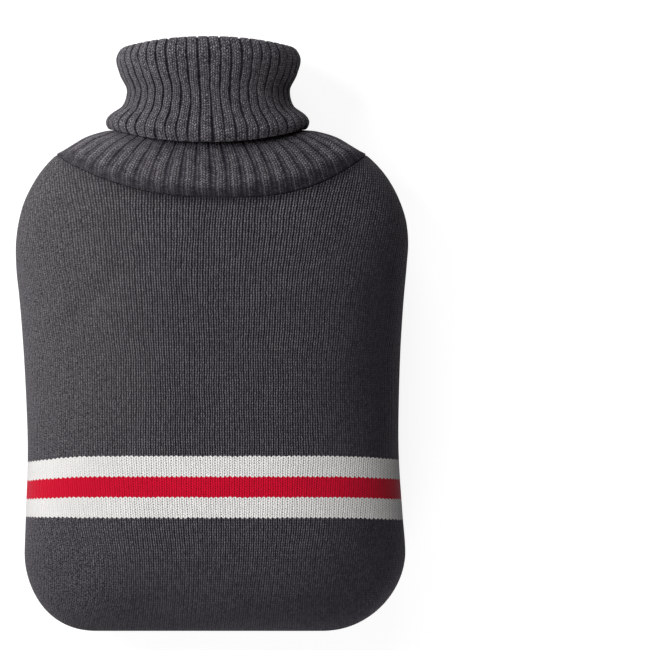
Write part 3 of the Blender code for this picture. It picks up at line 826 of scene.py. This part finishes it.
class Graph:
    """The nodes of one knit material."""

    def __init__(self, name):
        self.material = new_material(name, YARN)
        self.nodes = self.material.node_tree.nodes
        self.links = self.material.node_tree.links

    def put(self, value, socket):
        """Link a Value or a colour socket, or set a plain number."""
        if isinstance(value, Value):
            self.links.new(value.socket, socket)
        elif isinstance(value, bpy.types.NodeSocket):
            self.links.new(value, socket)
        else:
            socket.default_value = value

    def math(self, operation, *values):
        """The outcome of a Math node."""
        node = self.nodes.new("ShaderNodeMath")
        node.operation = operation
        for value, socket in zip(values, node.inputs):
            self.put(value, socket)
        return Value(self, node.outputs[0])

    def uv(self, name):
        """The two numbers of a UV map, such as wale and course of the one named stitch."""
        node = self.nodes.new("ShaderNodeUVMap")
        node.uv_map = name
        parts = self.nodes.new("ShaderNodeSeparateXYZ")
        self.links.new(node.outputs[0], parts.inputs[0])
        return Value(self, parts.outputs[0]), Value(self, parts.outputs[1])

    def vector(self, x, y, z=0.0):
        """Three numbers as a vector."""
        node = self.nodes.new("ShaderNodeCombineXYZ")
        for value, socket in zip((x, y, z), node.inputs):
            self.put(value, socket)
        return node.outputs[0]

    def noise(self, across, up, lane=0.0, detail=1.0, roughness=0.5):
        """Smooth noise from 0 to 1 over a map. Each lane is another noise."""
        node = self.nodes.new("ShaderNodeTexNoise")
        node.inputs["Scale"].default_value = 1.0
        node.inputs["Detail"].default_value = detail
        node.inputs["Roughness"].default_value = roughness
        self.links.new(self.vector(across, up, lane), node.inputs["Vector"])
        return Value(self, node.outputs["Fac"])

    def dice(self, x, y):
        """A random number from 0 to 1 for each whole place."""
        node = self.nodes.new("ShaderNodeTexWhiteNoise")
        self.links.new(self.vector(x, y), node.inputs["Vector"])
        return Value(self, node.outputs["Value"])

    def curve(self, value, points):
        """A number through a smooth curve of points."""
        node = self.nodes.new("ShaderNodeFloatCurve")
        line = node.mapping.curves[0]
        for x, y in points[1:-1]:
            line.points.new(x, y)
        line.points[0].location = points[0]
        line.points[-1].location = points[-1]
        node.mapping.update()
        self.put(value, node.inputs["Value"])
        return Value(self, node.outputs[0])

    def step(self, span, value):
        """0 below the span, 1 above it, and smooth between."""
        node = self.nodes.new("ShaderNodeMapRange")
        node.interpolation_type = "SMOOTHSTEP"
        node.inputs["From Min"].default_value = span[0]
        node.inputs["From Max"].default_value = span[1]
        self.put(value, node.inputs["Value"])
        return Value(self, node.outputs[0])

    def mix(self, share, first, second):
        """A mix of two colours, each a socket or a screen colour."""
        node = self.nodes.new("ShaderNodeMix")
        node.data_type = "RGBA"
        self.put(share, node.inputs["Factor"])
        for colour, name in ((first, "A"), (second, "B")):
            if not isinstance(colour, bpy.types.NodeSocket):
                colour = (*linear(colour), 1.0)
            self.put(colour, [s for s in node.inputs if s.name == name and s.type == "RGBA"][0])
        return [s for s in node.outputs if s.type == "RGBA"][0]

    def scaled(self, colour, factor):
        """A colour times a number."""
        node = self.nodes.new("ShaderNodeVectorMath")
        node.operation = "SCALE"
        self.links.new(colour, node.inputs[0])
        self.put(factor, node.inputs["Scale"])
        return node.outputs[0]

    def finish(self, colour, height):
        """Colour and the stitches' relief onto the shader."""
        bump = self.nodes.new("ShaderNodeBump")
        bump.inputs["Strength"].default_value = 1.0
        bump.inputs["Distance"].default_value = RELIEF_DEPTH
        self.put(height, bump.inputs["Height"])
        shader = self.nodes["Principled BSDF"]
        self.links.new(bump.outputs[0], shader.inputs["Normal"])
        self.links.new(colour, shader.inputs["Base Color"])
        return self.material


# --- Yarn and stitches ---
# A stitch's profile is its leg's height across its half of the wale, from the wale's middle to
# its edge. Lift is how many courses the leg climbs there, and bead how much it swells halfway.
Stitch = namedtuple("Stitch", "profile lift bead")
PLAIN_STITCH = Stitch(
    ((0.0, 0.14), (0.2, 0.66), (0.45, 1.0), (0.7, 0.74), (0.88, 0.22), (1.0, 0.0)), 0.62, 0.42)
RIB_STITCH = Stitch(
    ((0.0, 0.25), (0.2, 0.7), (0.5, 1.0), (0.75, 0.8), (0.9, 0.5), (1.0, 0.4)), 0.6, 0.85)

# Heathered yarn: how much brightness differs from stitch to stitch, along the fibres, in specks
# and in slow clouds, and how many of these there are to a wale across and to a course up
Melange = namedtuple("Melange", "stitch fibre speck")
CLOUDS = 0.2
DARKEST = 0.1
FIBRE_PITCH = (4.5, 2.2)
SPECK_PITCH = (2.6, 1.9)
CLOUD_PITCH = (0.16, 0.09)
LIGHT_FIBRES = (0.62, 0.8)  # fibre noise from where fibres are light
LIGHT_FIBRE_SHARE = 0.3
COOL_SHADE = (0.3, 1.5)  # brightness from the cooler to the lighter charcoal


def legs(graph, across, course, stitch):
    """Relief of plain knit stitches, 0 to 1, which course each place belongs to, and the holes
    at the corners between stitches."""
    folded = graph.math("ABSOLUTE", graph.math("FRACT", across) * 2.0 - 1.0)
    climbed = course - folded * stitch.lift
    swell = graph.math("SINE", graph.math("FRACT", climbed) * math.pi)
    ridge = graph.curve(folded, stitch.profile)
    relief = ridge * (swell * stitch.bead + (1.0 - stitch.bead))
    hole = (1.0 - ridge) * (1.0 - swell)
    return relief, graph.math("FLOOR", climbed), hole


def melange(graph, across, course, stitch_course, strength):
    """Brightness of heathered yarn around 1, and where its light fibres are."""
    def pitched(pitch, **how):
        return graph.noise(across * pitch[0], course * pitch[1], **how)

    stitch = graph.dice(graph.math("FLOOR", across * 2.0), stitch_course)
    fibre = pitched(FIBRE_PITCH, detail=3.0, roughness=0.7)
    speck = pitched(SPECK_PITCH, lane=9.0)
    cloud = pitched(CLOUD_PITCH, detail=2.0)
    tone = (stitch - 0.5) * strength.stitch + (fibre - 0.5) * strength.fibre
    tone = tone + (cloud - 0.5) * CLOUDS + (speck - 0.5) * strength.speck
    return graph.math("MAXIMUM", tone + 1.0, DARKEST), graph.step(LIGHT_FIBRES, fibre)


def heather(graph, shade, light):
    """Charcoal yarn's colour, cooler where it is in shade, with light fibres in it."""
    yarn = graph.mix(graph.step(COOL_SHADE, shade), CHARCOAL, CHARCOAL_LIT)
    return graph.mix(light * LIGHT_FIBRE_SHARE, yarn, PALE_FIBRE_AND_PAINTED_LIGHT)


def between(graph, value, low, high):
    """1 from low up to high, else 0."""
    above_low = graph.math("GREATER_THAN", value, low - 0.5)
    return above_low - graph.math("GREATER_THAN", value, high - 0.5)


# --- The panels' material ---
# Spans of wales to the left or the right of the middle, and of courses up from the bottom
PAINTED_LIGHT_STITCH_WALES = (13.0, 31.0)  # painted light: towards the left side, where light falls, the stitches' shade thins to dotted holes with stronger specks
SMOOTH_LEFT = (12.0, 34.0)  # the painted shade at the stripe band's holes, and the seam's painted shadow, are fainter there under painted light
PAINTED_LIGHT_WALES = (2.0, 33.0)  # painted light on the charcoal towards the left side, where the band is painted darker instead
PAINTED_SHADE_WALES = (14.0, 36.0)  # painted shade towards the right side, which darkens the stitches and evens them out
EDGE_SHADE_WALES = (26.0, 36.0)  # painted shade darkens the right edge
LOW_PAINTED_SHADE_UP = (-42.0, -12.0)  # the same painted shade towards the bottom, down from these courses
EDGE_SHADE_UP = (20.0, 60.0)
LIT_UP = (35.0, 110.0)
CRISP_UP = (150.0, 185.0)  # the painted light on the left's stitches is weaker above
LESS_PAINTED_SHADE_UP = (135.0, 172.0)
SEAM_SHADE = (0.3, 6.0)  # millimetres below the neckline over which a painted shadow of the collar's edge darkens the panel

PAINTED_LIGHT_SHARE = 0.25  # share of the painted light mixed into the charcoal on the left
RIGHT_PAINTED_SHADE = 0.82  # how far painted shade darkens and evens the stitches on the right
LOW_PAINTED_SHADE = 0.7  # the same at the bottom
MOST_PAINTED_SHADE = 0.88
PAINTED_SHADE_LEVEL = 0.73  # brightness of stitches under full painted shade
PANEL_MELANGE = Melange(0.6, 1.2, 0.9)
PAINTED_LIGHT_SPECKS = 4.3  # how much stronger specks are under the painted light on the left's stitches


def plain_knit(name, is_reverse):
    """Plain knit with the stripe band. Its reverse shows the stitches' heads instead."""
    graph = Graph(name)
    wale, course = graph.uv("stitch")
    below_neckline, _ = graph.uv("neckline")
    leftwards = wale * -1.0
    drift = graph.noise(wale * 0.11, course * 0.05)
    jitter = graph.noise(wale * 0.9, course * 0.8)
    across = wale + drift * 0.7 + jitter * 0.3
    up = course + graph.noise(wale * 0.4, course * 0.3, lane=5.0) * 0.5 - 0.25
    if is_reverse:
        across = across + 0.5
    relief, stitch_course, hole = legs(graph, across, up, PLAIN_STITCH)
    if is_reverse:
        head = graph.math("FRACT", up + graph.math("SINE", across * 2.0 * math.pi) * 0.22)
        relief = graph.math("SINE", head * math.pi) * 0.8 + relief * 0.2

    # Masks for painted light towards the left side and painted shade towards the right
    painted_light_stitches = graph.step(PAINTED_LIGHT_STITCH_WALES, leftwards)
    smooth = graph.step(SMOOTH_LEFT, leftwards)
    painted_light_left = graph.step(PAINTED_LIGHT_WALES, leftwards)
    painted_shade_right = graph.step(PAINTED_SHADE_WALES, wale)
    specks = painted_light_stitches * PAINTED_LIGHT_SPECKS + PANEL_MELANGE.speck
    tone, light = melange(graph, across, course, stitch_course,
                          PANEL_MELANGE._replace(speck=specks))

    # Charcoal: painted shade deep between the stitches; painted light on the left that leaves
    # shade only in dotted holes; painted shade on the right and at the bottom that darkens and
    # evens the stitches
    painted_gap_shade = graph.math("POWER", relief, 2.3) * 3.25 + 0.04
    dotted = graph.math("MAXIMUM", 1.2 - hole * 1.6, 0.1)
    # painted light on the left: the stitches' shade thins to dotted holes, less so higher up
    painted_light_stitches = painted_light_stitches * (0.8 - graph.step(CRISP_UP, course) * 0.4)
    painted_gap_shade = painted_gap_shade + painted_light_stitches * (dotted - painted_gap_shade)
    # painted shade towards the right and the bottom: stitches darker and evened out, with lower
    # relief
    painted_shade_share = painted_shade_right * (RIGHT_PAINTED_SHADE - graph.step(LESS_PAINTED_SHADE_UP, course) * 0.5)
    painted_shade_share = painted_shade_share + graph.step(LOW_PAINTED_SHADE_UP, course * -1.0) * LOW_PAINTED_SHADE
    painted_shade_share = graph.math("MINIMUM", painted_shade_share, MOST_PAINTED_SHADE)
    # painted shade along the right edge, and a painted shadow of the collar's edge below the
    # neckline
    painted_shade_far_right = graph.step(EDGE_SHADE_WALES, wale) * graph.step(EDGE_SHADE_UP, course)
    seam_painted_shadow = (1.0 - graph.step(SEAM_SHADE, below_neckline)) * (1.0 - smooth * 0.8)
    charcoal_shade = (painted_gap_shade + painted_shade_share * (PAINTED_SHADE_LEVEL - painted_gap_shade)) * tone
    charcoal_shade = charcoal_shade * (1.0 - painted_shade_far_right * 0.3) * (1.0 - seam_painted_shadow * 0.5)

    # The stripe band, whose pale yarn gets painted shade only at the stitches' holes, fainter on
    # the left, and is painted darker towards both sides
    low, red_low, red_high, high = STRIPE_COURSES
    in_band = between(graph, stitch_course, low, high)
    in_red = between(graph, stitch_course, red_low, red_high)
    # painted shade at the band's holes, fainter on the left under painted light
    shallow = 1.08 - graph.math("POWER", hole, 1.3) * (1.45 - smooth * 1.0)
    # painted shade on the band towards the left and the right side
    band_painted_shade = 1.07 - painted_light_left * 0.2 - painted_shade_right * 0.12
    band_shade = shallow * band_painted_shade * ((tone - 1.0) * (0.2 - smooth * 0.15) + 1.0)

    colour = heather(graph, charcoal_shade, light)
    colour = graph.mix(in_band, colour, WHITE)
    colour = graph.mix(in_red, colour, RED)
    shade = charcoal_shade + in_band * (band_shade - charcoal_shade)
    colour = graph.scaled(colour, shade)
    # painted light: pale colour mixed into the charcoal on the left side, stronger higher up
    painted_light_mix = painted_light_left * (graph.step(LIT_UP, course) * 0.67 + 0.33)
    painted_light_mix = painted_light_mix * (1.0 - in_band) * (tone * 0.6 + 0.4)
    colour = graph.mix(painted_light_mix * PAINTED_LIGHT_SHARE, colour, PALE_FIBRE_AND_PAINTED_LIGHT)
    return graph.finish(colour, relief * (1.0 - in_band * 0.6) * (1.0 - painted_shade_share * 0.4))


# --- The collar's material ---
# Phase 0 is the middle of a furrow. A rib's two wales stand closer together than its width.
RIB_WALES = ((0.0, 0.0), (0.1, 0.02), (0.27, 0.25), (0.5, 0.5), (0.73, 0.75), (0.9, 0.98),
             (1.0, 1.0))
FURROW = (0.76, 0.9)  # from a rib's middle, where its furrow starts and is deepest
LEFT_RIB = 24.0  # ribs are counted from the right side, round the front
PAINTED_LIGHT_RIBS = (2.0, 12.0)  # ribs from the left side over which painted light fades
HIGHLIGHT_PHASE = 0.57  # a painted highlight: a thin lit line along the yoke's ribs
HIGHLIGHT_WIDTH = (0.0, 0.055)
SHADY_PHASE = (0.5, 0.64)  # and their side with painted shade
RIB_MELANGE = Melange(0.8, 1.6, 3.4)
YOKE_SPECKS = 2.4  # how much weaker specks are on the yoke

# Spans of courses from the neckline
YOKE_UP = (24.0, 36.0)
SEAM_UP = (0.6, 8.3)
HIGHLIGHT_UP = (13.0, 21.0)
SHADE_STARTS = (17.0, 22.5)  # the shade under the cuff's hem
SHADE_ENDS = (32.0, 42.0)


def rib_knit(name):
    """Ribbed knit: each rib is two plain wales, and the furrow between ribs lies deeper."""
    graph = Graph(name)
    rib, course = graph.uv("stitch")
    jitter = graph.noise(rib * 2.0, course * 0.5)
    wiggle = graph.noise(rib, course * 0.8, lane=3.0)
    placed_rib = rib + jitter * 0.08 + wiggle * 0.12 - 0.1
    phase = graph.math("FRACT", placed_rib)
    wale = graph.curve(phase, RIB_WALES) * 2.0
    place = wale + graph.math("FLOOR", placed_rib) * 2.0
    slip = graph.dice(graph.math("FLOOR", place * 2.0), 0.0)
    up = course + graph.noise(rib * 0.9, course * 0.3, lane=5.0) * 0.6 + slip
    relief, stitch_course, _ = legs(graph, wale, up, RIB_STITCH)

    yoke = 1.0 - graph.step(YOKE_UP, course)
    near_seam = 1.0 - graph.step(SEAM_UP, course)
    ragged = graph.noise(rib * 2.0, course * 1.1, lane=7.0)
    from_middle = graph.math("ABSOLUTE", phase - 0.5) * 2.0
    # the furrows between ribs: lower relief and painted shade
    furrow = graph.step(FURROW, from_middle + ragged * 0.24 - 0.12 - yoke * 0.08)
    furrow = furrow * (0.62 - yoke * 0.17 - near_seam * 0.4)
    specks = RIB_MELANGE.speck - yoke * YOKE_SPECKS
    tone, light = melange(graph, place, course, stitch_course,
                          RIB_MELANGE._replace(speck=specks))
    # painted highlight along the yoke's ribs, fading higher up
    painted_highlight = 1.0 - graph.step(HIGHLIGHT_WIDTH, graph.math("ABSOLUTE", phase - HIGHLIGHT_PHASE))
    painted_highlight = painted_highlight * yoke * (1.0 - graph.step(HIGHLIGHT_UP, course))
    # painted shade on one side of each of the yoke's ribs, the other side lighter
    lean = 1.0 + yoke * (0.14 - graph.step(SHADY_PHASE, phase) * 0.3)
    under_hem = graph.step(SHADE_STARTS, course) * (1.0 - graph.step(SHADE_ENDS, course))

    # painted shade between the stitches, in the furrows and in a band along the neckline's seam,
    # where the ribs' shading is also evened out
    shade = graph.math("POWER", relief, 1.5) * (3.6 - yoke * 0.7) * lean + 0.35
    shade = shade * (1.0 - furrow)
    shade = shade + near_seam * (0.9 - shade) * 0.7
    shade = (shade * tone + painted_highlight * 3.6) * (1.0 - near_seam * 0.5) * (1.0 - under_hem * 0.15)
    colour = graph.scaled(heather(graph, shade, light), shade)
    # painted light: pale colour mixed in on the collar's left side
    left = 1.0 - graph.step(PAINTED_LIGHT_RIBS, graph.math("ABSOLUTE", rib - LEFT_RIB))
    colour = graph.mix(left * tone * 0.12, colour, PALE_FIBRE_AND_PAINTED_LIGHT)
    return graph.finish(colour, relief * (1.0 - furrow))


# --- Stage, light and camera ---
LIGHT_SIZE = 0.8  # lights are square; they stand at these places in metres, with watts
LIGHT_TARGET = (0.0, 0.0, 0.03)
LIGHTS = (
    ("key", (-1.1, 0.6, 0.85), 25.0),
    ("side", (-1.3, 0.2, 0.5), 4.5),
    ("head", (0.0, 1.2, 0.6), 7.5),
    ("foot", (0.0, -1.2, 0.6), 8.7),
)
FILL = 0.03  # light from all round
CLIP_END = 20.0  # the camera sees this far, in metres


def make_stage():
    """A pale floor."""
    mesh = bpy.data.meshes.new("floor")
    corners = [(x * FLOOR_HALF, y * FLOOR_HALF, FLOOR_Z)
               for x, y in ((-1, -1), (1, -1), (1, 1), (-1, 1))]
    mesh.from_pydata(corners, [], [(0, 1, 2, 3)])
    floor = linked("floor", mesh)
    mesh.materials.append(new_material("floor_paint", {
        "Base Color": (*linear(FLOOR), 1.0), "Emission Color": (1.0, 1.0, 1.0, 1.0),
        "Emission Strength": FLOOR_GLOW, "Roughness": 0.9, "Specular IOR Level": 0.1}))
    floor.visible_diffuse = False


def soft_light(name, place, watts):
    """A square area light that faces the cover."""
    light = bpy.data.lights.new(name, "AREA")
    light.shape = "SQUARE"
    light.size = LIGHT_SIZE
    light.energy = watts
    lamp = linked(name, light)
    direction = np.array(LIGHT_TARGET) - np.array(place)
    lamp.location = place
    yaw = math.atan2(direction[1], direction[0]) - math.pi / 2
    tip = math.atan2(math.hypot(direction[0], direction[1]), -direction[2])
    lamp.rotation_euler = (tip, 0.0, yaw)


def make_lights():
    """A large soft light from the upper left, weaker ones around it, and a weak even fill."""
    for name, place, watts in LIGHTS:
        soft_light(name, place, watts)
    world = bpy.data.worlds.new("fill")
    world.use_nodes = True
    background = world.node_tree.nodes["Background"]
    background.inputs["Color"].default_value = (1.0, 1.0, 1.0, 1.0)
    background.inputs["Strength"].default_value = FILL
    bpy.context.scene.world = world


def make_camera():
    """Straight above the cover's front, framed as in the photograph."""
    half_frame = FRAME_PIXELS / 2
    x = (half_frame - BODY_MIDDLE_PIXEL) * MM_PER_PIXEL + SHIFT[0]
    y = (BOTTOM_SEAM_PIXEL - half_frame) * MM_PER_PIXEL + SHIFT[1]
    distance = FRAME_PIXELS * MM_PER_PIXEL * LENS_MM / SENSOR_MM
    data = bpy.data.cameras.new("camera")
    data.lens = LENS_MM
    data.sensor_width = SENSOR_MM
    data.clip_end = CLIP_END
    camera = linked("camera", data)
    camera.location = (x * MM, y * MM, (distance + SEAM_Z) * MM)
    bpy.context.scene.camera = camera


def main():
    """The three dressed sheets, the floor, the lights and the camera."""
    bpy.context.scene.view_settings.view_transform = "Standard"
    knit = plain_knit("plain_knit_face", False)
    reverse = plain_knit("plain_knit_reverse", True)
    ribs = rib_knit("rib_knit_face")
    front = panel_piece("front_knit", True, (knit, reverse))
    back = panel_piece("back_knit", False, (knit, reverse))
    collar = collar_piece("collar_knit", (ribs,))
    for piece, node, slot in ((front, "front_panel", "plain_knit"),
                              (back, "back_panel", "plain_knit"),
                              (collar, "collar", "rib_knit")):
        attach(piece, "root")
        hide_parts(node)
    make_stage()
    make_lights()
    make_camera()


main()
